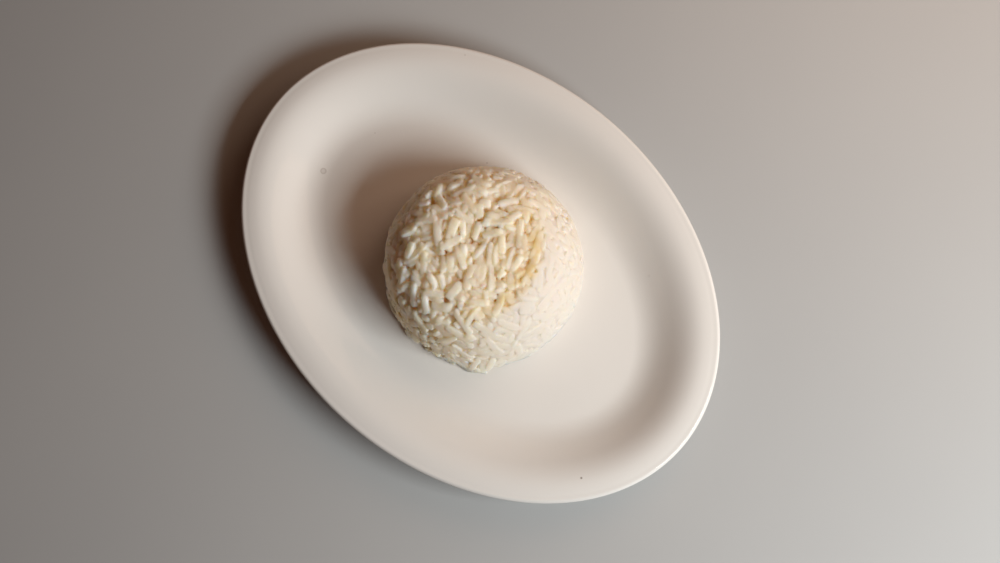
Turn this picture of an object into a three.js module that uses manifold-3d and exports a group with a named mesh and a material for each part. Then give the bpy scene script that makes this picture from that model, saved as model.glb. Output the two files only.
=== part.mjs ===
// A plate of white rice: cooked long-grain rice, turned out of a small bowl as a rounded heap, on an
// oval melamine plate with a flat well, a sloping wall, a narrow rim with a rounded edge, and a foot ring.
// Millimetres, +Z up, +X along the plate's length. The origin is on the table, under the plate's centre.
// The plate is one solid, and so is the heap: a core with the grains that show fused on.
import * as THREE from "three";
import { MeshSurfaceSampler } from "three/addons/math/MeshSurfaceSampler.js";
import { mergeVertices } from "three/addons/utils/BufferGeometryUtils.js";
import Module from "manifold-3d";

const wasm = await Module();
wasm.setup();

// The plate's outline from above is an oval a little leaner at the shoulders than an ellipse.
const PLATE_LENGTH = 229;
const PLATE_WIDTH = 169;
const OVAL_POWER = 1.98;
const PLATE_SEGMENTS = 60;

// Heights in the plate's section.
const CREST_TOP = 16.4;
const EDGE_TOP = 16.2;
const WELL_TOP = 5;
const WELL_UNDER = 1.6;
const SHELL = 3;

// Widths in the plate's section, in from the outer edge. The rim and the wall are as wide all round.
const RIM_WIDTH = 6;
const WALL_WIDTH = 29.8;
const WALL_FOOT_EASE = 12;
const WALL_HEAD_EASE = 11;
const UNDER_SHIFT = 1.5;
const FOOT_OUTSIDE = 35.5;
const FOOT_WIDTH = 3.5;
const FOOT_SLOPE = 0.7;
const WALL_STEPS = 7;
const UNDER_STEPS = 5;
const EDGE_TURNS = [60, 0, -60];

// The heap's section follows (radius / HEAP_RADIUS) ^ SHOULDER + (height / HEAP_HEIGHT) ^ CROWN = 1.
const HEAP_RADIUS = 42.5;
const HEAP_HEIGHT = 38;
const SHOULDER = 4.0;
const CROWN = 2.1;
const HEAP_X = 1.8;
const HEAP_Y = 2.7;
const HEAP_GAP = 0.1;
const HEAP_SEGMENTS = 24;
const HEAP_RINGS = 6;

// At one place on its foot the heap has slid out, and a wide stretch of the foot has sagged a little.
const SLIP = { angle: -49, spread: 6.5, reach: 4.5 };
const SAG = { angle: -85, spread: 35, reach: 1.8 };
const SLIDE_HEIGHT = 12;

// Cooked long-grain rice.
const GRAIN_LENGTH = 10.6;
const GRAIN_WIDTH = 3.1;
const GRAIN_THICKNESS = 2.6;
const GRAIN_SIDES = 4;
const GRAIN_ROWS = 3;
const GRAIN_BEND = 0.7;
const FULL_SHARE = 0.56;
const SPINE_SHARES = [-0.75, -0.25, 0.25, 0.75];
const GRAIN_COUNT = 260;
const SHORTEST_GRAIN = 0.78;
const GRAIN_SINK = 1.25;
const CORE_INSET = 1.7;
const TILT_ON_SIDE = 7;
const TILT_ON_TOP = 24;
const CANDIDATES = 80;
const SEED = 20311;

const { degToRad, lerp } = THREE.MathUtils;

// Random numbers from 0 to 1 that come out the same in every run.
function seededRandom(seed) {
  let state = seed;
  return () => {
    state = (state + 0x6d2b79f5) | 0;
    let mixed = Math.imul(state ^ (state >>> 15), 1 | state);
    mixed = (mixed + Math.imul(mixed ^ (mixed >>> 7), 61 | mixed)) ^ mixed;
    return ((mixed ^ (mixed >>> 14)) >>> 0) / 4294967296;
  };
}

// A closed body with shared corners: only positions are kept, and the empty triangles at a pole go.
function closedBody(geometry) {
  geometry.deleteAttribute("normal");
  geometry.deleteAttribute("uv");
  const body = mergeVertices(geometry, 1e-4);
  const corners = body.index.array;
  const kept = [];
  for (let i = 0; i < corners.length; i += 3) {
    const [a, b, c] = corners.subarray(i, i + 3);
    if (a !== b && b !== c && c !== a) {
      kept.push(a, b, c);
    }
  }
  body.setIndex(kept);
  return body;
}

function toManifold(geometry) {
  const body = closedBody(geometry);
  const mesh = new wasm.Mesh({
    numProp: 3,
    vertProperties: new Float32Array(body.attributes.position.array),
    triVerts: new Uint32Array(body.index.array),
  });
  return new wasm.Manifold(mesh);
}

function toGeometry(manifold) {
  const mesh = manifold.getMesh();
  const geometry = new THREE.BufferGeometry();
  geometry.setAttribute("position", new THREE.BufferAttribute(mesh.vertProperties, 3));
  geometry.setIndex(new THREE.BufferAttribute(mesh.triVerts, 1));
  return geometry;
}

// Moves every vertex of a geometry by a rule that changes the vector it is given.
function reshape(geometry, rule) {
  const position = geometry.attributes.position;
  const point = new THREE.Vector3();
  for (let i = 0; i < position.count; i += 1) {
    point.fromBufferAttribute(position, i);
    rule(point);
    position.setXYZ(i, point.x, point.y, point.z);
  }
  return geometry;
}

// The plate's section, from the middle of the well out over the rim and back along the underside.
// x is the distance from the plate's middle towards its end, and y is the height.
function plateSection() {
  const edge = PLATE_LENGTH / 2;
  const at = (inset, height) => new THREE.Vector2(edge - inset, height);
  const wellEdge = RIM_WIDTH + WALL_WIDTH;
  const edgeRadius = SHELL / 2;
  const edgeMiddle = EDGE_TOP - edgeRadius;

  const wallTop = new THREE.CubicBezierCurve(
    at(wellEdge, WELL_TOP),
    at(wellEdge - WALL_FOOT_EASE, WELL_TOP),
    at(RIM_WIDTH + WALL_HEAD_EASE, CREST_TOP),
    at(RIM_WIDTH, CREST_TOP),
  );
  const roundEdge = EDGE_TURNS.map((degrees) => {
    const angle = degToRad(degrees);
    return at(edgeRadius * (1 - Math.cos(angle)), edgeMiddle + edgeRadius * Math.sin(angle));
  });
  const crestUnder = CREST_TOP - SHELL;
  const wallUnder = new THREE.CubicBezierCurve(
    at(RIM_WIDTH - UNDER_SHIFT, crestUnder),
    at(RIM_WIDTH + WALL_HEAD_EASE - UNDER_SHIFT, crestUnder),
    at(FOOT_OUTSIDE - FOOT_SLOPE - WALL_FOOT_EASE, WELL_UNDER),
    at(FOOT_OUTSIDE - FOOT_SLOPE, WELL_UNDER),
  );
  return [
    new THREE.Vector2(0, WELL_TOP),
    ...wallTop.getPoints(WALL_STEPS),
    at(edgeRadius, EDGE_TOP),
    ...roundEdge,
    at(edgeRadius, EDGE_TOP - SHELL),
    ...wallUnder.getPoints(UNDER_STEPS),
    at(FOOT_OUTSIDE, 0),
    at(FOOT_OUTSIDE + FOOT_WIDTH, 0),
    at(FOOT_OUTSIDE + FOOT_WIDTH + FOOT_SLOPE, WELL_UNDER),
    new THREE.Vector2(0, WELL_UNDER),
  ];
}

// How far the plate reaches sideways where it reaches `long` towards its end.
function sidewaysReach(long) {
  const wellLong = PLATE_LENGTH / 2 - RIM_WIDTH - WALL_WIDTH;
  const wellSide = PLATE_WIDTH / 2 - RIM_WIDTH - WALL_WIDTH;
  if (long <= wellLong) {
    return (long * wellSide) / wellLong;
  }
  return long + (PLATE_WIDTH - PLATE_LENGTH) / 2;
}

function plateGeometry() {
  const ovalPart = (value) => Math.sign(value) * Math.abs(value) ** (2 / OVAL_POWER);
  const lathe = new THREE.LatheGeometry(plateSection().reverse(), PLATE_SEGMENTS);
  lathe.rotateX(Math.PI / 2);
  return closedBody(
    reshape(lathe, (point) => {
      const long = Math.hypot(point.x, point.y);
      if (long > 0) {
        const side = sidewaysReach(long);
        point.x = long * ovalPart(point.x / long);
        point.y = side * ovalPart(point.y / long);
      }
    }),
  );
}

// How far the foot of the heap reaches beyond its round outline, in one direction.
function slideAt(angle, height) {
  const bump = ({ angle: middle, spread, reach }) => {
    const apart = angle - degToRad(middle);
    const turn = Math.atan2(Math.sin(apart), Math.cos(apart));
    return reach * Math.exp(-0.5 * (turn / degToRad(spread)) ** 2);
  };
  const low = Math.max(0, 1 - height / SLIDE_HEIGHT);
  return (bump(SLIP) + bump(SAG)) * low * low;
}

// The heap's surface, drawn in by `inset` all round. An open one has no underside.
function heapGeometry(inset, open) {
  const top = HEAP_HEIGHT - inset;
  const foot = HEAP_RADIUS - inset;
  const section = [];
  for (let ring = 0; ring <= HEAP_RINGS; ring += 1) {
    const turn = ((Math.PI / 2) * ring) / HEAP_RINGS;
    const radius = foot * Math.cos(turn) ** (2 / SHOULDER);
    section.push(new THREE.Vector2(ring < HEAP_RINGS ? radius : 0, top * Math.sin(turn) ** (2 / CROWN)));
  }
  if (!open) {
    section.unshift(new THREE.Vector2(0, 0));
  }
  const lathe = new THREE.LatheGeometry(section, HEAP_SEGMENTS);
  lathe.rotateX(Math.PI / 2);
  return reshape(lathe, (point) => {
    const radius = Math.hypot(point.x, point.y);
    if (radius > 0) {
      const stretch = 1 + slideAt(Math.atan2(point.y, point.x), point.z) / radius;
      point.x *= stretch;
      point.y *= stretch;
    }
  });
}

// One grain along x. It is full over the middle share of its length, comes to a blunt point at each
// end, and is bent a little sideways.
function grainGeometry(length, bend) {
  const grain = new THREE.SphereGeometry(1, GRAIN_SIDES, GRAIN_ROWS);
  grain.rotateZ(Math.PI / 2);
  return reshape(grain, (point) => {
    const girth = Math.hypot(point.y, point.z);
    const isTip = girth < 1e-6;
    const share = Math.sign(point.x) * (isTip ? 1 : FULL_SHARE);
    point.x = (share * length) / 2;
    point.y = isTip ? -bend : ((point.y / girth) * GRAIN_WIDTH) / 2;
    point.z = isTip ? 0 : ((point.z / girth) * GRAIN_THICKNESS) / 2;
  });
}

// A way for a grain to lie on the heap: a random spot and direction. Towards the heap's top the
// grains lie looser, at steeper tilts. The spine is the points along the grain's middle line.
function randomLie(sampler, random) {
  const place = new THREE.Vector3();
  const normal = new THREE.Vector3();
  sampler.sample(place, normal);
  const length = GRAIN_LENGTH * lerp(SHORTEST_GRAIN, 1, random());
  const steepest = degToRad(lerp(TILT_ON_SIDE, TILT_ON_TOP, Math.max(0, normal.z)));
  const outward = new THREE.Quaternion().setFromUnitVectors(new THREE.Vector3(0, 0, 1), normal);
  const turn = new THREE.Matrix4()
    .makeRotationFromQuaternion(outward)
    .multiply(new THREE.Matrix4().makeRotationZ(2 * Math.PI * random()))
    .multiply(new THREE.Matrix4().makeRotationY(steepest * (2 * random() - 1)));
  turn.setPosition(place.addScaledVector(normal, -GRAIN_SINK));
  const spine = SPINE_SHARES.map((share) => {
    return new THREE.Vector3((share * length) / 2, 0, 0).applyMatrix4(turn);
  });
  return { length, turn, spine };
}

// Lies for the grains, spread evenly: each is the one of several random lies that stays furthest
// from the grains already laid.
function evenLies(count, random) {
  const surface = new THREE.Mesh(heapGeometry(0, true));
  const sampler = new MeshSurfaceSampler(surface).setRandomGenerator(random).build();
  const lies = [];
  const taken = [];
  while (lies.length < count) {
    let best = { room: -1 };
    for (let i = 0; i < CANDIDATES; i += 1) {
      const lie = randomLie(sampler, random);
      lie.room = Infinity;
      for (const point of lie.spine) {
        for (const other of taken) {
          lie.room = Math.min(lie.room, point.distanceToSquared(other));
        }
      }
      if (lie.room > best.room) {
        best = lie;
      }
    }
    lies.push(best);
    taken.push(...best.spine);
  }
  return lies;
}

// The solid of one grain. One that would reach below the heap's foot is lifted.
function layGrain({ length, turn }, random) {
  const bend = GRAIN_BEND * (2 * random() - 1);
  const grain = grainGeometry(length, bend).applyMatrix4(turn);
  grain.computeBoundingBox();
  grain.translate(0, 0, Math.max(0, -grain.boundingBox.min.z));
  return toManifold(grain);
}

// The heap: the core and its grains joined. A hollow shut in between grains is a body of its own
// in the join, and so is a loose scrap, and the largest body is the heap without them.
function riceGeometry() {
  const random = seededRandom(SEED);
  let heap = toManifold(heapGeometry(CORE_INSET, false));
  for (const lie of evenLies(GRAIN_COUNT, random)) {
    heap = heap.add(layGrain(lie, random));
  }
  const bodies = heap.decompose().sort((a, b) => b.volume() - a.volume());
  return toGeometry(bodies[0]);
}

const plate = new THREE.Mesh(
  plateGeometry(),
  new THREE.MeshStandardMaterial({ color: 0xe9dfd8, roughness: 0.25, metalness: 0 }),
);
plate.name = "plate";

const rice = new THREE.Mesh(
  riceGeometry(),
  new THREE.MeshStandardMaterial({ color: 0xe9dcbf, roughness: 0.45, metalness: 0 }),
);
rice.name = "rice";
rice.position.set(HEAP_X, HEAP_Y, WELL_TOP + HEAP_GAP);

const plateOfRice = new THREE.Group();
plateOfRice.add(plate, rice);

export default plateOfRice;
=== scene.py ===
import math

import bmesh
import bpy
import numpy as np
from mathutils import Matrix, Vector, kdtree, noise as lumps
from mathutils.bvhtree import BVHTree


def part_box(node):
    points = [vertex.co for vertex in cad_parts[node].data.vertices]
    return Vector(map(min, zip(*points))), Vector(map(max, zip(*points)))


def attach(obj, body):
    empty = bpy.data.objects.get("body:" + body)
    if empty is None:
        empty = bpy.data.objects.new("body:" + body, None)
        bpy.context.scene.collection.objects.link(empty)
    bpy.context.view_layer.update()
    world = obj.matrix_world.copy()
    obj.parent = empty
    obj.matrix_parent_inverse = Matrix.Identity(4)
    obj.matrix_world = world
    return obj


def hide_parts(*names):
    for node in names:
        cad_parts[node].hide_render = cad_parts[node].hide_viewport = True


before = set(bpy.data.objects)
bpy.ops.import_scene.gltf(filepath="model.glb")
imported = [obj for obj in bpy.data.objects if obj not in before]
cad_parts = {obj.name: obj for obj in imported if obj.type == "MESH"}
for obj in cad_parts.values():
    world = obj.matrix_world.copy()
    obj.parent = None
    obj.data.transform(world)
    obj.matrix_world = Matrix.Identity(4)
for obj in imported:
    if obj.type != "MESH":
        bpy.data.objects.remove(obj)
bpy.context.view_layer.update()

MM = 0.001
SEED = 7

plate_low, plate_high = (np.array(corner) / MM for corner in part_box("plate"))
rice_low, rice_high = (np.array(corner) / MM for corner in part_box("rice"))

# The photograph's frame in pixels, and the camera's place and direction.
PHOTO_SIZE = (1000, 563)
LENS = 50.0
SENSOR = 36.0
CAMERA_TILT = 12.03
CAMERA_AZIMUTH = -23.82
CAMERA_TURN = 133.18
CAMERA_DISTANCE = 597.4
CAMERA_TARGET = np.array([9.8, 3.2, 0.0])

# The plate's outline and section. Insets are measured in from the outer edge.
HALF_LENGTH = (plate_high[0] - plate_low[0]) / 2
HALF_WIDTH = (plate_high[1] - plate_low[1]) / 2
OVAL_POWER = 1.98
CREST_TOP = plate_high[2]
EDGE_TOP = CREST_TOP - 0.2
WELL_TOP = 5.0
WELL_UNDER = 1.6
SHELL = 3.0
RIM_WIDTH = 6.0
WALL_WIDTH = 29.8
WALL_FOOT_EASE = 12.0
WALL_HEAD_EASE = 11.0
UNDER_SHIFT = 1.5
FOOT_OUTSIDE = 35.5
FOOT_WIDTH = 3.5
FOOT_SLOPE = 0.7
PLATE_SEGMENTS = 288

# Small marks on the plate: the pixel of the photograph where each lies, its radius, and how strong it is.
PLATE_SPECKS = {
    "dark_speck_on_rim": {"pixel": (581.3, 478.0), "radius": 0.65, "strength": 0.75},
    "tick_at_upper_well": {"pixel": (375, 133), "radius": 0.45, "strength": 0.25},
    "tick_on_rim": {"pixel": (465, 55), "radius": 0.5, "strength": 0.25},
    "tick_by_heap": {"pixel": (487, 163), "radius": 0.5, "strength": 0.3},
    "smudge_on_right_wall": {"pixel": (649, 276), "radius": 0.9, "strength": 0.08},
}
SPECK_HEART = 0.3
SMUDGE_RING = {"pixel": (323.4, 171.0), "radius": 1.1, "width": 0.5, "faintest": 0.15, "strength": 0.4}

# The heap's section follows (radius / HEAP_RADIUS) ^ SHOULDER + (height / HEAP_HEIGHT) ^ CROWN = 1.
HEAP_RADIUS = 42.5
HEAP_HEIGHT = 38.0
SHOULDER = 4.0
CROWN = 2.1
HEAP_PLACE = np.array([1.8, 2.7, rice_low[2]])

# At one place on its foot the heap has slid out, and a wide stretch of the foot has sagged a little.
SLIP = {"angle": -49, "spread": 6.5, "reach": 4.5}
SAG = {"angle": -85, "spread": 35, "reach": 1.8}
SLIDE_HEIGHT = 12.0

# Cooked long-grain rice, lying in a shell a few grains deep round a core.
GRAIN_COUNT = 1020
TOP_SHARE = 0.75
SHELL_DEPTH_ON_TOP = 6.0
SHELL_DEPTH_AT_SIDE = 3.0
CORE_DEPTH_ON_TOP = 3.0
CORE_DEPTH_AT_SIDE = 1.6
CORE_DEPTH_AT_SMOOTH_SIDE = 0.7
CORE_LIFT = 0.02
CORE_LUMP = 0.8
CORE_LUMP_SIZE = 2.6
CORE_SLIDE_SHARE = 0.4
CORE_RINGS = 44
CORE_SIDES = 180
GRAIN_LENGTH = (10.0, 13.2)
BROKEN_LENGTH = (4.4, 7.2)
BROKEN_SHARE = 0.09
GRAIN_WIDTH = (2.8, 3.5)
WIDER_WHEN_LAID = 1.1
GRAIN_THICKNESS = (2.2, 2.7)
GRAIN_STATIONS = 12
GRAIN_SIDES = 12
CONTACT_RADIUS = 1.14

# Chance in how the grains lie: how far each one tips, bends and sways, and how flat it lies on the heap.
TRIES_AT_ONCE = 4000
LAID_TIP = 0.12
POURED_TIP = 0.35
STEEP_SHARE = 0.15
FLATTEN_STEEP = 0.3
FLATTEN_LYING = 0.85
FLATTEN_PRESSED = 0.1
BEND_SPREAD = 0.45
STRONG_BEND_SHARE = 0.14
STRONG_BEND = (1.2, 2.4)
SWAY_SPREAD = 0.25

# The settling: each grain is a row of beads, which start small, grow, and push each other apart.
SETTLE_STEPS = 90
NEIGHBOUR_STEPS = 8
NEIGHBOUR_MARGIN = 1.0
BEAD_COUNT = 6
FIRST_BEAD_SHARE = 0.55
BEAD_GROWTH = 0.75
PRESSED_SINK = 0.35
PRESS_OUT = 0.05
PULL_OUT = 0.5
STEP_SHARE = 0.9
LARGEST_TURN = 0.15

# The heap's top is loose within the first of these distances from a middle of its own, and beyond the
# second the bowl has pressed it. Each grain there is pressed to a depth of its own, which differs least
# on the smooth side. On the beaded side many grains are short, and show their rounded ends.
LOOSE_MIDDLE = np.array([-7.3, -2.3])
LOOSE_REACH = (24.0, 37.0)
PRESSED_DEPTH = (-0.2, 0.3)
PRESSED_EASE = 0.3

# How far grains may stand out where nothing presses them, and what they keep from the plate and the top.
UNPRESSED_BY = 4.0
LIFT_FROM_PLATE = (0.03, 0.18)
UNDER_TOP = 0.05

# The rougher, the smooth and the beaded parts of the heap's pressed side. The smooth side faces the window
# and the beaded side is turned from it; the rice's colour gets painted shade on both.
ROUGHER_BY = 2.0
SMOOTH_SIDE = {"angle": 16, "spread": 50, "reach": 1.0}
BEADED_SIDE = {"angle": 260, "spread": 32, "reach": 0.9}
BEAD_LENGTH = (3.4, 5.6)

# Each grain's own shape, in shares of its size: its ends, twist, ridges, swelling and slant.
BLUNT_START = (3.0, 6.0)
BLUNT_END = (4.0, 9.0)
BLUNT_CUT = 14.0
TAPER = (-0.12, 0.12)
TWIST = (-0.35, 0.35)
THREE_RIDGES = (0.01, 0.05)
TWO_RIDGES = (0.0, 0.05)
SWELLING = (0.01, 0.06)
SWELLING_WAVES = 3.1
ANY_TURN = (0, 6.3)
BOXINESS = (0.5, 0.75)
SLANT = (-0.4, 0.4)

# Cooked grains stick together: one skin goes round them all, made in small cells and then smoothed.
SKIN_CELL = 0.27
SKIN_TRIANGLES = 196000
SMOOTHING_SHARE = 0.5
SMOOTHING_STEPS = 1
SKIN_LUMP = 0.1
SKIN_LUMP_SIZE = 1.0
SMOOTH_DEPTH = 0.1
FLATTENING = 0.3
FLATTEN_TO = (1.8, 3.2)
# The next three set how far the crevice value is blurred, how much of the painted crevice shade the smooth
# side loses, and how strong the painted gold shade is.
GAP_STEPS = 24
SMOOTH_GAP_LOSS = 0.6
GOLDEN_SHADE_GAIN = 4

# The grains that stand out on the heap's loose top: the pixels of the photograph where each starts
# and ends, its width, and how far its middle bows out to the left of that direction.
TOP_GRAINS = {
    "hook": [
        ((411, 223), (438, 219), 3.5, 0.9),
        ((436, 220), (438, 247), 3.4, 0.0),
        ((438, 248), (461, 237), 3.5, -0.7),
        ((447, 241), (456, 218), 3.8, 0.0),
        ((401, 236), (416, 226), 3.9, 0.3),
    ],
    "hanging": [
        ((401, 257), (399, 280), 2.9, 0.4),
        ((413, 242), (406, 259), 3.2, 0.0),
    ],
    "upper_left": [
        ((433, 190), (446, 209), 3.1, 0.0),
        ((441, 184), (435, 197), 3.1, 0.0),
        ((418, 206), (430, 203), 2.2, 0.0),
        ((425, 198), (432, 191), 2.6, 0.0),
    ],
    "upper": [
        ((448, 190), (463, 180), 3.1, 0.0),
        ((464, 180), (481, 172), 2.9, 0.4),
        ((471, 184), (487, 195), 3.1, 0.0),
        ((469, 190), (464, 214), 3.0, 0.0),
        ((477, 203), (480, 219), 3.9, 0.0),
        ((478, 203), (491, 204), 3.6, 0.0),
        ((497, 204), (519, 201), 3.0, 0.0),
    ],
    "middle": [
        ((462, 218), (463, 237), 2.3, 0.0),
        ((480, 221), (473, 240), 2.8, 0.0),
        ((493, 211), (484, 227), 3.0, 0.0),
        ((498, 227), (521, 212), 3.3, 0.3),
        ((482, 236), (503, 232), 3.0, 0.5),
        ((502, 234), (501, 254), 3.2, 0.0),
        ((463, 243), (464, 262), 2.9, 0.0),
        ((475, 264), (465, 280), 2.9, 0.0),
        ((461, 282), (447, 299), 3.5, 0.0),
        ((444, 256), (443, 273), 3.0, 0.0),
        ((450, 254), (450, 273), 3.2, 0.0),
        ((466, 274), (467, 291), 2.8, 0.0),
    ],
    "lower_left": [
        ((407, 264), (431, 259), 2.8, 0.4),
        ((428, 272), (435, 290), 2.8, 0.9),
        ((414, 282), (413, 307), 3.0, 0.0),
        ((424, 294), (427, 314), 3.1, 0.0),
        ((431, 306), (452, 308), 3.7, 0.0),
        ((425, 325), (444, 318), 3.8, 0.3),
    ],
    "right": [
        ((522, 255), (511, 270), 3.2, 0.0),
        ((496, 277), (505, 271), 2.6, 0.0),
        ((510, 272), (511, 291), 3.0, 0.0),
        ((522, 277), (530, 284), 2.8, 0.0),
        ((543, 238), (542, 252), 2.3, 0.0),
        ((528, 202), (530, 217), 2.4, 0.0),
    ],
    "lower": [
        ((466, 303), (490, 303), 3.2, 0.0),
        ((473, 318), (484, 313), 3.0, 0.0),
        ((485, 289), (486, 300), 2.4, 0.0),
    ],
    "beads": [
        ((434, 330), (442, 337), 4.0, 0.0),
        ((465, 333), (474, 340), 3.8, 0.0),
        ((449, 344), (456, 352), 3.4, 0.0),
        ((455, 326), (461, 322), 3.2, 0.0),
        ((422, 338), (429, 345), 3.2, 0.0),
    ],
}
TOP_GRAIN_DEPTH = (0.9, 1.4)
HIGHEST_GROUPS = ("hook", "hanging", "upper_left")
HIGHEST_BY = 0.6
LOWER_BY = 0.25

# Gaps in the loose top, with the pixel of the photograph, the radius and the depth of each.
TOP_GAPS = {
    "under_hanging": ((430, 266), 2.6, 2.6),
    "beside_hook": ((467, 224), 2.0, 2.4),
    "upper_left": ((444, 196), 2.0, 2.2),
    "long_upper": ((508, 236), 1.8, 2.6),
    "long_lower": ((508, 248), 1.8, 2.6),
    "right": ((525, 266), 2.2, 2.4),
    "far_right": ((537, 247), 1.8, 1.8),
    "lower_right": ((517, 300), 2.2, 2.6),
    "over_lone_grain": ((514, 209), 2.0, 2.2),
    "lower": ((463, 292), 2.0, 2.2),
    "below_hook": ((439, 253), 1.8, 2.2),
    "left": ((419, 280), 2.6, 2.0),
    "middle": ((480, 259), 1.8, 1.8),
}
GAP_SHARE = 0.55

# The loose top also swells and sinks in broad waves.
SWELL_COUNT = 16
SWELL_SIZE = (8, 22)
SWELL_DEPTH = 0.2
SWELL_LIMITS = (-0.2, 1.0)

# Pinholes in the rice, each at a pixel of the photograph.
PINHOLES = {
    "below_upper_left": (455, 212),
    "left_of_hook_end": (478, 220),
    "over_hook": (424, 213),
    "in_hook": (451, 237),
    "left_in_hook": (418, 226),
    "under_hook": (443, 242),
    "lower_in_hook": (446, 252),
    "lower_left": (422, 290),
    "left_at_foot": (397, 319),
    "at_foot": (418, 346),
    "by_slip": (457, 365),
}
PINHOLE_RADIUS = 0.5
PINHOLE_DEPTH = 1.3
PINHOLE_START = 0.6
PINHOLE_REACH = 3.0


def unit(vectors):
    return vectors / np.linalg.norm(vectors, axis=-1, keepdims=True)


def smooth_step(values, low, high):
    """0 up to `low`, 1 from `high` on, with a smooth rise between them."""
    share = np.clip((values - low) / (high - low), 0, 1)
    return share * share * (3 - 2 * share)


# The camera


def camera_view():
    """The camera's place, and its directions to the right, up and backwards."""
    tilt, azimuth, turn = np.radians([CAMERA_TILT, CAMERA_AZIMUTH, CAMERA_TURN])
    back = np.array([np.sin(tilt) * np.cos(azimuth), np.sin(tilt) * np.sin(azimuth), np.cos(tilt)])
    right = unit(np.cross([np.cos(turn), np.sin(turn), 0.0], back))
    return CAMERA_TARGET + back * CAMERA_DISTANCE, right, np.cross(back, right), back


def sight_line(pixel):
    """The camera's place, and the direction in which it sees a pixel of the photograph."""
    place, right, up, back = camera_view()
    pixel_size = SENSOR / PHOTO_SIZE[0] / LENS
    across = (pixel[0] - PHOTO_SIZE[0] / 2) * pixel_size
    rise = (PHOTO_SIZE[1] / 2 - pixel[1]) * pixel_size
    return place, unit(across * right + rise * up - back)


def add_camera():
    place, right, up, back = camera_view()
    camera = bpy.data.objects.new("camera", bpy.data.cameras.new("camera"))
    turn = Matrix([right.tolist(), up.tolist(), back.tolist()]).transposed()
    camera.matrix_world = Matrix.Translation(Vector(place) * MM) @ turn.to_4x4()
    camera.data.lens = LENS
    camera.data.sensor_width = SENSOR
    camera.data.clip_start = 0.01
    bpy.context.scene.collection.objects.link(camera)
    bpy.context.scene.camera = camera


# The heap's outline


def bump_at(angle, bump):
    """The reach of a smooth bump round one direction."""
    turn = (np.degrees(angle) - bump["angle"] + 180) % 360 - 180
    return bump["reach"] * np.exp(-0.5 * (turn / bump["spread"]) ** 2)


def slide_at(angle, height):
    """How far the heap's foot reaches beyond its round outline, in one direction and at one height."""
    low = np.clip(1 - height / SLIDE_HEIGHT, 0, 1)
    return (bump_at(angle, SLIP) + bump_at(angle, SAG)) * low * low


def depth_in_heap(points):
    """How deep points lie under the heap's outline, and the outward direction there."""
    x, y, z = np.moveaxis(points, -1, 0)
    z = np.maximum(z, 1e-3)
    reach = np.maximum(np.hypot(x, y), 1e-3)
    radius = np.maximum(reach - slide_at(np.arctan2(y, x), z), 1e-3)
    level = (radius / HEAP_RADIUS) ** SHOULDER + (z / HEAP_HEIGHT) ** CROWN
    gauge = level ** (1 / 3)
    steep = gauge / level / 3
    outward = steep * SHOULDER * (radius / HEAP_RADIUS) ** (SHOULDER - 1) / HEAP_RADIUS
    upward = steep * CROWN * (z / HEAP_HEIGHT) ** (CROWN - 1) / HEAP_HEIGHT
    slope = np.hypot(outward, upward)
    normal = np.stack([outward * x / reach, outward * y / reach, upward], axis=-1) / slope[..., None]
    return (1 - gauge) / slope, normal


def pressed_share(points):
    """1 where the bowl has pressed the heap smooth, and 0 on its loose top."""
    return smooth_step(np.linalg.norm(points[..., :2] - LOOSE_MIDDLE, axis=-1), *LOOSE_REACH)


def on_top_and_side(points, on_top, at_side):
    """A value that goes from the one on the heap's loose top to the one at its pressed side."""
    return on_top + (at_side - on_top) * pressed_share(points)


def seen_spot(pixel, depth):
    """The point this deep in the heap that shows at a pixel of the photograph."""
    place, ray = sight_line(pixel)
    place = place - HEAP_PLACE
    highest, lowest = (HEAP_HEIGHT - place[2]) / ray[2], -place[2] / ray[2]
    points = place + np.linspace(highest, lowest, 800)[:, None] * ray
    found, _ = depth_in_heap(points)
    return points[np.argmax(found > depth)]


# The packing of the grains


def laid_grains(random):
    """The grains that stand out on the heap's top, each laid where the photograph shows it."""
    rows = [grain for group in TOP_GRAINS.values() for grain in group]
    raised = np.concatenate([[name in HIGHEST_GROUPS] * len(group) for name, group in TOP_GRAINS.items()])
    depths = random.uniform(*TOP_GRAIN_DEPTH, size=len(rows)) - HIGHEST_BY * raised
    starts = np.array([seen_spot(row[0], depth) for row, depth in zip(rows, depths)])
    ends = np.array([seen_spot(row[1], depth) for row, depth in zip(rows, depths)])
    centre = (starts + ends) / 2
    return {
        "centre": centre,
        "along": unit(ends - starts),
        "flat": depth_in_heap(centre)[1] + random.normal(scale=LAID_TIP, size=centre.shape),
        "length": np.linalg.norm(ends - starts, axis=1),
        "width": np.array([row[2] for row in rows]) * WIDER_WHEN_LAID,
        "bend": np.array([row[3] for row in rows]),
        "broken": random.random(len(rows)) < BROKEN_SHARE,
    }


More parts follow.
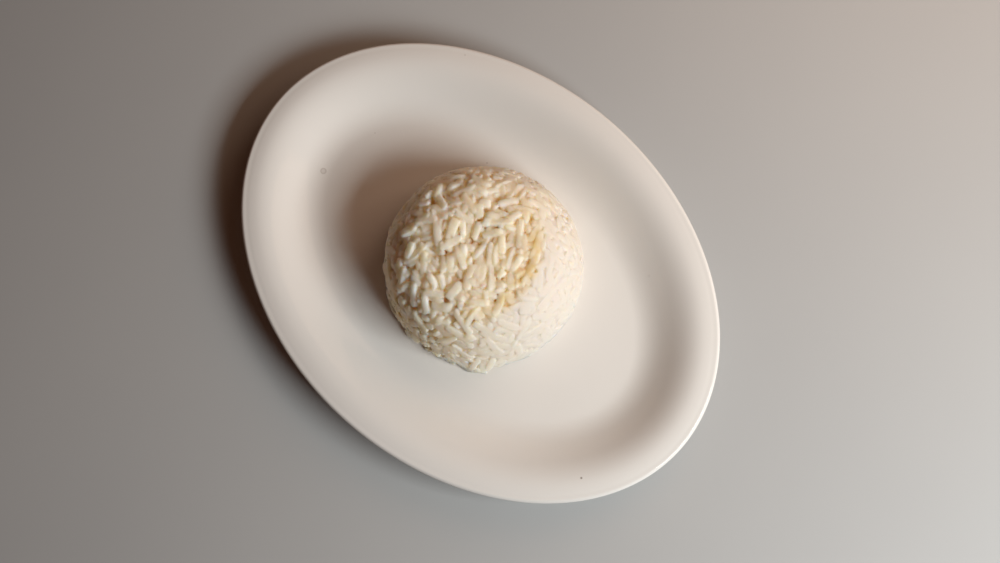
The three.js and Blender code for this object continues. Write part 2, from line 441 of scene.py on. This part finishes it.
def poured_grains(count, random):
    """Grains at random places and directions in the heap's shell."""
    low = np.array([-HEAP_RADIUS, -HEAP_RADIUS - SLIP["reach"], 0.0])
    high = np.array([HEAP_RADIUS, HEAP_RADIUS, HEAP_HEIGHT])
    centre = np.empty((0, 3))
    while len(centre) < count:
        tries = random.uniform(low, high, size=(TRIES_AT_ONCE, 3))
        depth, _ = depth_in_heap(tries)
        deepest = on_top_and_side(tries, SHELL_DEPTH_ON_TOP, SHELL_DEPTH_AT_SIDE)
        kept = random.random(len(tries)) < on_top_and_side(tries, TOP_SHARE, 1.0)
        centre = np.concatenate([centre, tries[kept & (depth > CONTACT_RADIUS) & (depth < deepest)]])
    centre = centre[:count]

    _, normal = depth_in_heap(centre)
    along = unit(random.normal(size=centre.shape))
    lean = np.sum(along * normal, axis=1, keepdims=True)
    steep = random.random(count) < STEEP_SHARE
    flatten = np.where(steep, FLATTEN_STEEP, FLATTEN_LYING) + FLATTEN_PRESSED * pressed_share(centre)
    along = unit(along - flatten[:, None] * lean * normal)
    length = random.uniform(*GRAIN_LENGTH, size=count)
    broken = random.random(count) < BROKEN_SHARE
    length[broken] = random.uniform(*BROKEN_LENGTH, size=broken.sum())
    beaded = bump_at(np.arctan2(centre[:, 1], centre[:, 0]), BEADED_SIDE) * pressed_share(centre)
    short = random.random(count) < beaded
    length[short] = random.uniform(*BEAD_LENGTH, size=short.sum())
    bend = random.normal(scale=BEND_SPREAD, size=count)
    strong = random.random(count) < STRONG_BEND_SHARE
    side = random.choice([-1, 1], size=strong.sum())
    bend[strong] = side * random.uniform(*STRONG_BEND, size=strong.sum())
    return {
        "centre": centre,
        "along": along,
        "flat": normal + random.normal(scale=POURED_TIP, size=centre.shape),
        "length": length,
        "width": random.uniform(*GRAIN_WIDTH, size=count),
        "bend": bend * (length / GRAIN_LENGTH[1]) ** 2,
        "broken": broken,
    }


def grain_axes(along, flat):
    """Each grain's directions along its length, across its width and through its thickness."""
    along = unit(along)
    flat = unit(flat - np.sum(flat * along, axis=1, keepdims=True) * along)
    return np.stack([along, np.cross(flat, along), flat], axis=1)


def all_grains(random):
    laid = laid_grains(random)
    held = len(laid["length"])
    poured = poured_grains(GRAIN_COUNT - held, random)
    grains = {name: np.concatenate([laid[name], poured[name]]) for name in laid}
    grains["axes"] = grain_axes(grains.pop("along"), grains.pop("flat"))
    grains["held"] = np.arange(GRAIN_COUNT) < held
    grains["sway"] = random.normal(scale=SWAY_SPREAD, size=GRAIN_COUNT)
    grains["thickness"] = random.uniform(*GRAIN_THICKNESS, size=GRAIN_COUNT)
    grains["tone"] = random.random(GRAIN_COUNT)
    return grains


def middle_line(grains, share):
    """The middle line of each grain, at shares from -1 to 1 of its half length."""
    half = grains["length"][:, None] / 2
    along = half * share
    aside = grains["bend"][:, None] * (0.5 - share**2)
    above = grains["sway"][:, None] * np.sin(math.pi * share)
    local = np.stack([along, aside, above], axis=-1)
    return grains["centre"][:, None] + np.einsum("gkc,gcx->gkx", local, grains["axes"])


def gap_field(random):
    """How far the loose top of the heap lies below its outline, from place to place."""
    swells = []
    for _ in range(SWELL_COUNT):
        heading = random.uniform(0, 2 * math.pi)
        size = random.uniform(*SWELL_SIZE)
        wave = np.array([math.cos(heading), math.sin(heading)]) * 2 * math.pi / size
        swells.append((wave, random.uniform(0, 2 * math.pi)))
    gaps = [(seen_spot(pixel, 1.0)[:2], radius, deep) for pixel, radius, deep in TOP_GAPS.values()]

    def depth_of_gap(points):
        level = points[..., :2]
        total = sum(np.sin(level @ wave + start) for wave, start in swells)
        depth = np.clip(SWELL_DEPTH + SWELL_DEPTH * total, *SWELL_LIMITS)
        for middle, radius, deep in gaps:
            apart = np.sum((level - middle) ** 2, axis=-1)
            depth = depth + GAP_SHARE * deep * np.exp(-0.5 * apart / radius**2)
        return depth

    return depth_of_gap


def push_apart(beads, pairs, radius):
    """How each bead moves for its grain to leave the grains that it cuts into."""
    first, second = pairs
    gap = beads[first][:, :, None] - beads[second][:, None]
    distance = np.maximum(np.linalg.norm(gap, axis=-1), 1e-6)
    overlap = np.maximum(2 * radius - distance, 0)
    move = gap * (overlap / distance / 2)[..., None]
    push = np.zeros_like(beads)
    np.add.at(push, first, move.sum(axis=2))
    np.add.at(push, second, -move.sum(axis=1))
    return push


def settle_grains(grains, random):
    """Lets the grains push each other apart inside the bowl that moulds them, each as a row of beads."""
    share = np.linspace(-1, 1, BEAD_COUNT) * (1 - 2 * CONTACT_RADIUS / GRAIN_LENGTH[1])
    gap_depth = gap_field(random)
    free = ~grains["held"][:, None]
    for step in range(SETTLE_STEPS):
        radius = CONTACT_RADIUS * min(1.0, FIRST_BEAD_SHARE + BEAD_GROWTH * step / SETTLE_STEPS)
        if step % NEIGHBOUR_STEPS == 0:
            apart = np.linalg.norm(grains["centre"][:, None] - grains["centre"][None], axis=-1)
            reach = (grains["length"][:, None] + grains["length"][None]) / 2 + NEIGHBOUR_MARGIN
            pairs = np.nonzero(np.triu(apart < reach, k=1))
        beads = middle_line(grains, share)
        push = push_apart(beads, pairs, radius)

        depth, normal = depth_in_heap(beads)
        pressed = pressed_share(beads)
        least = radius * (1 - PRESSED_SINK * pressed) + (LOWER_BY + gap_depth(beads)) * (1 - pressed)
        outside = np.maximum(least - depth, 0)
        inside = np.maximum(depth - on_top_and_side(beads, SHELL_DEPTH_ON_TOP, SHELL_DEPTH_AT_SIDE), 0)
        push += normal * (PULL_OUT * inside - outside + PRESS_OUT)[..., None]
        push[..., 2] += np.maximum(radius - beads[..., 2], 0)

        grains["centre"] = grains["centre"] + STEP_SHARE * push.mean(axis=1) * free
        arm = beads - beads.mean(axis=1, keepdims=True)
        spin = np.cross(arm, push).sum(axis=1) / (arm**2).sum(axis=(1, 2))[:, None]
        size = np.linalg.norm(spin, axis=1, keepdims=True)
        spin = spin * np.minimum(1.0, LARGEST_TURN / np.maximum(size, 1e-9)) * free
        axes = grains["axes"] + np.cross(spin[:, None], grains["axes"])
        grains["axes"] = grain_axes(axes[:, 0], axes[:, 2])
    return grains


# The shapes of the grains


def grain_shapes(grains, random):
    """Every grain's points, as an array of grains by stations by sides, and each grain's two tips."""
    count = len(grains["length"])
    share = np.sin(np.linspace(-1, 1, GRAIN_STATIONS + 2) * math.pi / 2)[None, :, None]
    angle = np.arange(GRAIN_SIDES) * 2 * math.pi / GRAIN_SIDES

    def draw(low, high):
        return random.uniform(low, high, size=(count, 1, 1))

    blunt = np.where(share < 0, draw(*BLUNT_START), draw(*BLUNT_END))
    cut = grains["broken"][:, None, None] & (share > 0)
    blunt = np.where(cut, BLUNT_CUT, blunt)
    full = np.maximum(1 - np.abs(share) ** blunt, 0) ** 0.5
    full = full * (1 - draw(*TAPER) * share)

    around = angle + draw(*TWIST) * share
    ridges = draw(*THREE_RIDGES) * np.cos(3 * around + draw(*ANY_TURN))
    ridges = ridges + draw(*TWO_RIDGES) * np.cos(2 * around + draw(*ANY_TURN))
    swelling = draw(*SWELLING) * np.sin(SWELLING_WAVES * share + draw(*ANY_TURN))
    swelling = swelling * np.cos(around + draw(*ANY_TURN))
    girth = full * (1 + ridges) * (1 + swelling) / 2
    cosine, sine = np.cos(around), np.sin(around)
    boxy = draw(*BOXINESS)
    wide = grains["width"][:, None, None] * girth * np.sign(cosine) * np.abs(cosine) ** boxy
    thick = grains["thickness"][:, None, None] * girth * np.sign(sine) * np.abs(sine) ** boxy
    slant = draw(*SLANT) * np.abs(share) ** 3 * np.sign(share)

    axes = grains["axes"][:, None, None]
    points = middle_line(grains, share[0, :, 0])[:, :, None] + (slant * wide)[..., None] * axes[..., 0, :]
    points = points + wide[..., None] * axes[..., 1, :] + thick[..., None] * axes[..., 2, :]
    return points[:, 1:-1], points[:, [0, -1]].mean(axis=2)


def press(points, held, random):
    """Presses points flat at the bowl's side and on the plate, each grain to a depth of its own."""
    shape = (len(points), 1)
    depth, normal = depth_in_heap(points)
    rough = 1 - bump_at(np.arctan2(points[:, :1, 1], points[:, :1, 0]), SMOOTH_SIDE)
    own = random.uniform(*PRESSED_DEPTH, size=shape) * (1 + ROUGHER_BY * rough)
    least = np.where(held[:, None], -UNPRESSED_BY, own - UNPRESSED_BY * (1 - pressed_share(points)))
    beyond = np.logaddexp(0, (depth - least) / PRESSED_EASE) * PRESSED_EASE + least - depth
    points = points - normal * beyond[..., None]
    lowest = random.uniform(*LIFT_FROM_PLATE, size=shape)
    points[..., 2] = np.clip(points[..., 2], lowest, rice_high[2] - rice_low[2] - UNDER_TOP)
    return points


def tube_faces(rows, sides):
    """Faces of a closed tube of `rows` rings, with its first and last tip after the rings' points."""
    row = np.arange(rows - 1)[:, None] * sides
    here = np.arange(sides)[None]
    after = (here + 1) % sides
    quads = np.stack([row + here, row + after, row + sides + after, row + sides + here], axis=-1)
    last = (rows - 1) * sides
    first_tip, last_tip = rows * sides, rows * sides + 1
    near = [(first_tip, int(b), int(a)) for a, b in zip(here[0], after[0])]
    far = [(last_tip, int(last + a), int(last + b)) for a, b in zip(here[0], after[0])]
    return quads.reshape(-1, 4).tolist() + near + far


def core_shape():
    """The middle of the heap: rings of points from its foot up, its bottom and top points, and its faces."""
    turn = np.linspace(0, math.pi / 2, CORE_RINGS + 1)[:-1, None]
    height = HEAP_HEIGHT * np.sin(turn) ** (2 / CROWN)
    angle = np.arange(CORE_SIDES)[None] * 2 * math.pi / CORE_SIDES
    radius = HEAP_RADIUS * np.cos(turn) ** (2 / SHOULDER) + CORE_SLIDE_SHARE * slide_at(angle, height)
    rings = np.stack([radius * np.cos(angle), radius * np.sin(angle), height + 0 * angle], axis=-1)
    _, normal = depth_in_heap(rings)
    lump = [lumps.noise(Vector(point) / CORE_LUMP_SIZE) for point in rings.reshape(-1, 3)]
    smooth = bump_at(np.arctan2(rings[..., 1], rings[..., 0]), SMOOTH_SIDE)
    at_side = CORE_DEPTH_AT_SIDE + (CORE_DEPTH_AT_SMOOTH_SIDE - CORE_DEPTH_AT_SIDE) * smooth
    depth = on_top_and_side(rings, CORE_DEPTH_ON_TOP, at_side)
    depth = depth + CORE_LUMP * np.array(lump).reshape(depth.shape)
    rings = rings - normal * depth[..., None]
    rings[..., 2] = np.maximum(rings[..., 2], CORE_LIFT)
    ends = [[0, 0, CORE_LIFT], [0, 0, HEAP_HEIGHT - CORE_DEPTH_ON_TOP]]
    return np.concatenate([rings.reshape(-1, 3), ends]), tube_faces(CORE_RINGS, CORE_SIDES)


def one_skin(bodies):
    """One closed skin round all the bodies, with soft creases where they stick together."""
    starts = np.cumsum([0] + [len(points) for points, _ in bodies[:-1]])
    faces = [[start + index for index in face] for (_, body), start in zip(bodies, starts) for face in body]
    mesh = bpy.data.meshes.new("bodies")
    mesh.from_pydata(np.concatenate([points for points, _ in bodies]).tolist(), [], faces)
    body = bpy.data.objects.new("bodies", mesh)
    bpy.context.scene.collection.objects.link(body)
    cells = body.modifiers.new("cells", "REMESH")
    cells.mode = "VOXEL"
    cells.voxel_size = SKIN_CELL
    smoothing = body.modifiers.new("smoothing", "SMOOTH")
    smoothing.factor = SMOOTHING_SHARE
    smoothing.iterations = SMOOTHING_STEPS
    cells_made = len(body.evaluated_get(bpy.context.evaluated_depsgraph_get()).data.polygons)
    fewer = body.modifiers.new("fewer", "DECIMATE")
    fewer.ratio = SKIN_TRIANGLES / 2 / cells_made
    joined = bpy.data.meshes.new_from_object(body.evaluated_get(bpy.context.evaluated_depsgraph_get()))
    bpy.data.meshes.remove(mesh)
    joined.materials.clear()
    drop_crumbs(joined)
    return joined


def drop_crumbs(mesh):
    """Takes away the few faces that the cells leave apart from the skin, shut in between the grains."""
    shape = bmesh.new()
    shape.from_mesh(mesh)
    left = set(shape.verts)
    parts = []
    while left:
        part = {left.pop()}
        edge = list(part)
        while edge:
            edge = {link.other_vert(vert) for vert in edge for link in vert.link_edges} & left
            part |= edge
            left -= edge
        parts.append(part)
    skin = max(parts, key=len)
    bmesh.ops.delete(shape, geom=[vert for vert in shape.verts if vert not in skin])
    shape.to_mesh(mesh)
    shape.free()


def add_values(mesh, name, values):
    layer = mesh.attributes.new(name, "FLOAT", "POINT")
    layer.data.foreach_set("value", values.astype(np.float32))


def finished_piece(mesh):
    mesh.polygons.foreach_set("use_smooth", [True] * len(mesh.polygons))
    mesh.update()
    piece = bpy.data.objects.new(mesh.name, mesh)
    bpy.context.scene.collection.objects.link(piece)
    return piece


def flatten_side(places):
    """Presses the skin's relief flatter where the bowl has pressed it smooth."""
    depth, normal = depth_in_heap(places)
    smooth = bump_at(np.arctan2(places[:, 1], places[:, 0]), SMOOTH_SIDE)
    share = pressed_share(places) * smooth * (1 - smooth_step(depth, *FLATTEN_TO))
    return places + normal * (share * FLATTENING * (depth - SMOOTH_DEPTH))[:, None]


def sink_pinholes(places):
    """Sinks the skin at the pinholes that the photograph shows."""
    depth, normal = depth_in_heap(places)
    for pixel in PINHOLES.values():
        middle = seen_spot(pixel, PINHOLE_START)
        apart = np.sum((places - middle) ** 2, axis=1)
        away = np.linalg.norm(np.cross(places - middle, sight_line(pixel)[1]), axis=1)
        near = np.exp(-((away / PINHOLE_RADIUS) ** 2)) * (apart < PINHOLE_REACH**2)
        places = places - normal * (near * PINHOLE_DEPTH)[:, None]
    return places


def gap_values(mesh, depth):
    """How much deeper each vertex lies than the skin around it."""
    edges = np.empty(len(mesh.edges) * 2, dtype=np.int32)
    mesh.edges.foreach_get("vertices", edges)
    first, second = edges.reshape(-1, 2).T
    ends = np.concatenate([first, second])
    others = np.concatenate([second, first])
    count = np.bincount(ends, minlength=len(depth))
    around = depth
    for _ in range(GAP_STEPS):
        around = np.bincount(ends, weights=around[others], minlength=len(depth)) / count
    return depth - around


def nearest_grain(places, grains):
    """The number of the grain that each place belongs to."""
    share = np.linspace(-0.9, 0.9, 9)
    beads = middle_line(grains, share).reshape(-1, 3)
    tree = kdtree.KDTree(len(beads))
    for number, bead in enumerate(beads):
        tree.insert(bead, number)
    tree.balance()
    return np.array([tree.find(place)[1] for place in places]) // len(share)


def rice_piece(random):
    """The heap: its core and grains with one skin, and the values that its colour follows."""
    grains = settle_grains(all_grains(random), random)
    rings, tips = grain_shapes(grains, random)
    points = press(np.concatenate([rings.reshape(GRAIN_COUNT, -1, 3), tips], axis=1), grains["held"], random)
    faces = tube_faces(GRAIN_STATIONS, GRAIN_SIDES)
    mesh = one_skin([core_shape()] + [(grain, faces) for grain in points])
    mesh.name = "rice_heap"

    places = np.empty(len(mesh.vertices) * 3, dtype=np.float32)
    mesh.vertices.foreach_get("co", places)
    places = sink_pinholes(flatten_side(places.reshape(-1, 3).astype(float)))
    uneven = [lumps.noise_vector(Vector(place) / SKIN_LUMP_SIZE) for place in places]
    places = places + SKIN_LUMP * np.array(uneven)
    places[:, 2] = np.clip(places[:, 2], 0, rice_high[2] - rice_low[2] - UNDER_TOP)
    depth, _ = depth_in_heap(places)
    pressed = pressed_share(places)
    smooth = bump_at(np.arctan2(places[:, 1], places[:, 0]), SMOOTH_SIDE) * pressed
    # These values steer the rice's colour. Pressed gives the pressed side its own colour; depth, gap,
    # golden, beaded and smooth carry painted shade: in the crevices and deeper down, gold at the loose top's
    # edge beside the smooth side, darker on the beaded side away from the lights and on the smooth side that
    # faces the window.
    add_values(mesh, "depth", depth)
    add_values(mesh, "pressed", pressed)
    add_values(mesh, "smooth", smooth)
    add_values(mesh, "golden_shade", GOLDEN_SHADE_GAIN * smooth * (1 - pressed))
    add_values(mesh, "beaded", bump_at(np.arctan2(places[:, 1], places[:, 0]), BEADED_SIDE) * pressed)
    add_values(mesh, "gap", gap_values(mesh, depth) * (1 - SMOOTH_GAP_LOSS * smooth))
    add_values(mesh, "tone", grains["tone"][nearest_grain(places, grains)])
    mesh.vertices.foreach_set("co", ((places + HEAP_PLACE) * MM).astype(np.float32).ravel())
    return finished_piece(mesh)


# The plate


def curve(start, start_handle, end_handle, end, steps):
    """Points of a cubic curve after its start."""
    share = np.linspace(0, 1, steps + 1)[1:, None]
    rest = 1 - share
    given = (start, start_handle, end_handle, end)
    start, start_handle, end_handle, end = (np.array(point) for point in given)
    near = rest**3 * start + 3 * rest**2 * share * start_handle
    return near + 3 * rest * share**2 * end_handle + share**3 * end


def plate_section():
    """The section as (inset, height), from the well's edge over the rim and back to the foot ring."""
    well_edge = RIM_WIDTH + WALL_WIDTH
    edge_radius = SHELL / 2
    head = RIM_WIDTH + WALL_HEAD_EASE
    crest = (RIM_WIDTH, CREST_TOP)
    wall = curve((well_edge, WELL_TOP), (well_edge - WALL_FOOT_EASE, WELL_TOP), (head, CREST_TOP), crest, 30)
    rim = curve(crest, (RIM_WIDTH - 3, CREST_TOP), (edge_radius + 2, EDGE_TOP), (edge_radius, EDGE_TOP), 8)
    turn = np.radians(np.linspace(80, -80, 13))
    edge_middle = EDGE_TOP - edge_radius
    edge = np.stack([edge_radius * (1 - np.cos(turn)), edge_middle + edge_radius * np.sin(turn)], axis=1)
    under_rim = (RIM_WIDTH - UNDER_SHIFT, CREST_TOP - SHELL)
    under_foot = (FOOT_OUTSIDE - FOOT_SLOPE, WELL_UNDER)
    edge_under = EDGE_TOP - SHELL
    to_rim = (under_rim[0] - 2, under_rim[1])
    rim_under = curve((edge_radius, edge_under), (edge_radius + 2, edge_under), to_rim, under_rim, 6)
    from_rim = (head - UNDER_SHIFT, under_rim[1])
    wall_under = curve(under_rim, from_rim, (under_foot[0] - WALL_FOOT_EASE, WELL_UNDER), under_foot, 24)
    inner = FOOT_OUTSIDE + FOOT_WIDTH
    foot = [
        (FOOT_OUTSIDE - 0.25, 0.45),
        (FOOT_OUTSIDE - 0.05, 0.12),
        (FOOT_OUTSIDE + 0.3, 0.0),
        (inner - 0.3, 0.0),
        (inner + 0.05, 0.12),
        (inner + 0.25, 0.45),
        (inner + FOOT_SLOPE - 0.15, WELL_UNDER - 0.3),
        (inner + FOOT_SLOPE + 0.3, WELL_UNDER),
    ]
    return np.concatenate([[(well_edge, WELL_TOP)], wall, rim, edge, rim_under, wall_under, foot])


def side_reach(long):
    """How far the plate reaches sideways where it reaches `long` towards its end."""
    well_long = HALF_LENGTH - RIM_WIDTH - WALL_WIDTH
    well_side = HALF_WIDTH - RIM_WIDTH - WALL_WIDTH
    return np.where(long <= well_long, long * well_side / well_long, long + HALF_WIDTH - HALF_LENGTH)


def oval_point(long, angle):
    """A point of the oval that reaches `long` towards the plate's end, in a direction."""
    cosine, sine = np.cos(angle), np.sin(angle)
    x = long * np.sign(cosine) * np.abs(cosine) ** (2 / OVAL_POWER)
    y = side_reach(long) * np.sign(sine) * np.abs(sine) ** (2 / OVAL_POWER)
    return x, y


def plate_piece():
    section = plate_section()
    long = HALF_LENGTH - section[:, 0]
    well = np.linspace(0, long[0], 14)[1:-1]
    under = np.linspace(long[-1], 0, 14)[1:-1]
    height = np.concatenate([np.full(len(well), WELL_TOP), section[:, 1], np.full(len(under), WELL_UNDER)])
    long = np.concatenate([well, long, under])
    angle = -np.arange(PLATE_SEGMENTS) * 2 * math.pi / PLATE_SEGMENTS
    x, y = oval_point(long[:, None], angle[None])
    rings = np.stack([x, y, height[:, None] + 0 * x], axis=-1).reshape(-1, 3)
    places = np.concatenate([rings, [[0, 0, WELL_TOP], [0, 0, WELL_UNDER]]])
    mesh = bpy.data.meshes.new("oval_plate")
    mesh.from_pydata((places * MM).tolist(), [], tube_faces(len(long), PLATE_SEGMENTS))
    return finished_piece(mesh)


# Materials

# The rice is tinted by values of its mesh: where each tint starts and is full, its share and its colour. The
# pressed tint is the rice's own colour; the other five tints are painted shade.
RICE_TONES = ((0.81, 0.69, 0.50, 1), (0.87, 0.78, 0.62, 1))
PALE_SPOTS = (0.90, 0.84, 0.72, 1)
RICE_TINTS_AND_PAINTED_SHADE = {
    "pressed": (0.0, 1.0, 0.7, (0.82, 0.72, 0.56, 1)),
    # Painted shade on the smooth side, which faces the window: it takes back some of the light there.
    "smooth": (0.0, 1.0, 0.95, (0.67, 0.61, 0.545, 1)),
    # Painted shade on the beaded side, which is turned away from the lights: darker and gold-brown.
    "beaded": (0.1, 0.9, 0.7, (0.74, 0.62, 0.43, 1)),
    # Painted gold shade between the grains where the loose top meets the smooth side, in patches.
    "golden_shade": (0.1, 0.9, 1.0, (0.70, 0.54, 0.28, 1)),
    # Painted shade in the crevices between the grains: darker and gold-brown.
    "gap": (0.1, 1.0, 0.8, (0.76, 0.60, 0.33, 1)),
    # Painted shade deeper in the heap: darker and gold-brown.
    "depth": (1.7, 3.4, 0.85, (0.70, 0.50, 0.21, 1)),
}
SUBSURFACE_RADIUS = (0.9, 0.7, 0.45)
SUBSURFACE_SCALE = 0.012

# The plate and the floor are faintly mottled. The marks on the plate have colours of their own.
PLATE_LOOK = {
    "Scale": 28.0,
    "Detail": 4.0,
    "First": (0.725, 0.70, 0.665, 1),
    "Second": (0.755, 0.73, 0.70, 1),
}
FLOOR_LOOK = {
    "Scale": 6.0,
    "Detail": 5.0,
    "First": (0.40, 0.40, 0.40, 1),
    "Second": (0.45, 0.45, 0.445, 1),
}
PLATE_ROUGHNESS = (0.07, 0.11)
SPECK_COLOUR = (0.16, 0.11, 0.08, 1)
RING_COLOUR = (0.30, 0.24, 0.20, 1)


def add_node(tree, kind, inputs=None, **settings):
    """A new node. Each input is set by its name or number, to a value or from another node's output."""
    node = tree.nodes.new(kind)
    for name, value in settings.items():
        setattr(node, name, value)
    for name, value in (inputs or {}).items():
        if isinstance(value, bpy.types.NodeSocket):
            tree.links.new(value, node.inputs[name])
        else:
            node.inputs[name].default_value = value
    return node


def mixed(tree, share, first, second):
    """A colour between two colours."""
    node = add_node(tree, "ShaderNodeMix", {0: share, 6: first, 7: second}, data_type="RGBA")
    return node.outputs[2]


def ramp(tree, value, low, high, start, end):
    """A value that goes smoothly from `start` to `end` as another goes from `low` to `high`."""
    inputs = {"Value": value, "From Min": low, "From Max": high, "To Min": start, "To Max": end}
    node = add_node(tree, "ShaderNodeMapRange", inputs, interpolation_type="SMOOTHSTEP")
    return node.outputs["Result"]


def noise(tree, place, scale, detail=3.0):
    inputs = {"Vector": place, "Scale": scale, "Detail": detail}
    return add_node(tree, "ShaderNodeTexNoise", inputs).outputs["Fac"]


def product(tree, first, second):
    return add_node(tree, "ShaderNodeMath", {0: first, 1: second}, operation="MULTIPLY").outputs[0]


def mottled_group():
    """A node group whose colour wanders between two colours from place to place."""
    group = bpy.data.node_groups.new("mottled", "ShaderNodeTree")
    inputs = {
        "Place": "NodeSocketVector",
        "Scale": "NodeSocketFloat",
        "Detail": "NodeSocketFloat",
        "First": "NodeSocketColor",
        "Second": "NodeSocketColor",
    }
    for name, kind in inputs.items():
        group.interface.new_socket(name=name, in_out="INPUT", socket_type=kind)
    group.interface.new_socket(name="Colour", in_out="OUTPUT", socket_type="NodeSocketColor")
    given = add_node(group, "NodeGroupInput").outputs
    share = noise(group, given["Place"], given["Scale"], given["Detail"])
    add_node(group, "NodeGroupOutput", {"Colour": mixed(group, share, given["First"], given["Second"])})
    return group


def mottled(tree, group, place, look):
    node = add_node(tree, "ShaderNodeGroup", {"Place": place, **look}, node_tree=group)
    return node.outputs["Colour"]


def mesh_value(tree, name):
    return add_node(tree, "ShaderNodeAttribute", attribute_name=name).outputs["Fac"]


def new_material(name):
    material = bpy.data.materials.new(name)
    material.use_nodes = True
    return material, material.node_tree, material.node_tree.nodes["Principled BSDF"]


def rice_material():
    material, tree, shader = new_material("cooked_rice")
    place = add_node(tree, "ShaderNodeTexCoord").outputs["Object"]
    tint = mixed(tree, mesh_value(tree, "tone"), *RICE_TONES)
    tint = mixed(tree, ramp(tree, noise(tree, place, 420.0), 0.5, 0.7, 0.0, 0.6), tint, PALE_SPOTS)
    # The tints follow the mesh values; all but the pressed tint are painted shade, and the painted gold
    # shade comes in patches.
    patchy = ramp(tree, noise(tree, place, 160.0), 0.38, 0.6, 0.35, 1.0)
    for name, (low, high, most, colour) in RICE_TINTS_AND_PAINTED_SHADE.items():
        share = ramp(tree, mesh_value(tree, name), low, high, 0.0, most)
        if name == "golden_shade":
            share = product(tree, share, patchy)
        tint = mixed(tree, share, tint, colour)
    tree.links.new(tint, shader.inputs["Base Color"])

    fibre = noise(tree, place, 1500.0, 4.0)
    tree.links.new(ramp(tree, fibre, 0.3, 0.7, 0.55, 0.7), shader.inputs["Roughness"])
    bump = add_node(tree, "ShaderNodeBump", {"Height": fibre, "Strength": 0.4, "Distance": 0.00015})
    tree.links.new(bump.outputs["Normal"], shader.inputs["Normal"])
    shader.inputs["Subsurface Weight"].default_value = 1.0
    shader.inputs["Subsurface Radius"].default_value = SUBSURFACE_RADIUS
    shader.inputs["Subsurface Scale"].default_value = SUBSURFACE_SCALE
    shader.inputs["Specular IOR Level"].default_value = 0.3
    return material


def spot_on(piece, pixel):
    """The point of a piece, in metres, that shows at a pixel of the photograph."""
    place, ray = sight_line(pixel)
    corners = [vertex.co for vertex in piece.data.vertices]
    tree = BVHTree.FromPolygons(corners, [tuple(face.vertices) for face in piece.data.polygons])
    return tree.ray_cast(Vector(place) * MM, Vector(ray))[0]


def distance_from(tree, place, spot):
    node = add_node(tree, "ShaderNodeVectorMath", {0: place, 1: spot}, operation="DISTANCE")
    return node.outputs["Value"]


def plate_material(plate, mottling):
    material, tree, shader = new_material("plate_melamine")
    place = add_node(tree, "ShaderNodeTexCoord").outputs["Object"]
    tint = mottled(tree, mottling, place, PLATE_LOOK)
    for speck in PLATE_SPECKS.values():
        away = distance_from(tree, place, spot_on(plate, speck["pixel"]))
        radius = speck["radius"] * MM
        share = ramp(tree, away, SPECK_HEART * radius, radius, speck["strength"], 0.0)
        tint = mixed(tree, share, tint, SPECK_COLOUR)
    away = distance_from(tree, place, spot_on(plate, SMUDGE_RING["pixel"]))
    middle = SMUDGE_RING["radius"] * MM
    inner, outer = (middle + side * SMUDGE_RING["width"] * MM for side in (-1, 1))
    rising = ramp(tree, away, inner, middle, SMUDGE_RING["faintest"], SMUDGE_RING["strength"])
    falling = ramp(tree, away, middle, outer, 1.0, 0.0)
    tint = mixed(tree, product(tree, rising, falling), tint, RING_COLOUR)
    tree.links.new(tint, shader.inputs["Base Color"])
    sheen = ramp(tree, noise(tree, place, 60.0, 5.0), 0.3, 0.7, *PLATE_ROUGHNESS)
    tree.links.new(sheen, shader.inputs["Roughness"])
    shader.inputs["Specular IOR Level"].default_value = 0.22
    return material


def floor_material(mottling):
    material, tree, shader = new_material("pale_floor")
    place = add_node(tree, "ShaderNodeTexCoord").outputs["Object"]
    tree.links.new(mottled(tree, mottling, place, FLOOR_LOOK), shader.inputs["Base Color"])
    shader.inputs["Roughness"].default_value = 0.7
    return material


# The studio

FLOOR_REACH = 4.0
WINDOW = {"azimuth": 12, "elevation": 38, "distance": 0.75, "size": (0.42, 0.24), "power": 5.8}
WINDOW_COLOUR = (0.95, 1.0, 1.0)
LAMP = {"azimuth": 78, "elevation": 38, "distance": 0.45, "size": (0.35, 0.35), "power": 0.65}
LAMP_COLOUR = (1.0, 0.68, 0.48)
ROOM_COLOUR = (1.0, 0.40, 0.20, 1)
ROOM_STRENGTH = 0.063


def floor_piece():
    reach = FLOOR_REACH
    mesh = bpy.data.meshes.new("studio_floor")
    corners = [(-reach, -reach, 0), (reach, -reach, 0), (reach, reach, 0), (-reach, reach, 0)]
    mesh.from_pydata(corners, [], [(0, 1, 2, 3)])
    return finished_piece(mesh)


def add_light(name, light, colour):
    data = bpy.data.lights.new(name, "AREA")
    data.shape = "RECTANGLE"
    data.size, data.size_y = light["size"]
    data.energy = light["power"]
    data.color = colour
    piece = bpy.data.objects.new(name, data)
    turn, rise = math.radians(light["azimuth"]), math.radians(light["elevation"])
    away = Vector((math.cos(rise) * math.cos(turn), math.cos(rise) * math.sin(turn), math.sin(rise)))
    piece.location = away * light["distance"]
    piece.rotation_euler = away.to_track_quat("Z", "Y").to_euler()
    bpy.context.scene.collection.objects.link(piece)


def add_room():
    world = bpy.data.worlds.new("room")
    world.use_nodes = True
    background = world.node_tree.nodes["Background"]
    background.inputs["Color"].default_value = ROOM_COLOUR
    background.inputs["Strength"].default_value = ROOM_STRENGTH
    bpy.context.scene.world = world
    bpy.context.scene.view_settings.view_transform = "Standard"


def place_piece(piece, material, node):
    """Gives a piece its material, and sets it in the place of a CAD node."""
    piece.data.materials.append(material)
    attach(piece, "root")
    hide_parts(node)


lumps.seed_set(SEED)
place_piece(rice_piece(np.random.default_rng(SEED)), rice_material(), "rice")
plate = plate_piece()
mottling = mottled_group()
place_piece(plate, plate_material(plate, mottling), "plate")
floor = floor_piece()
floor.data.materials.append(floor_material(mottling))
add_camera()
add_light("window_light", WINDOW, WINDOW_COLOUR)
add_light("side_lamp", LAMP, LAMP_COLOUR)
add_room()
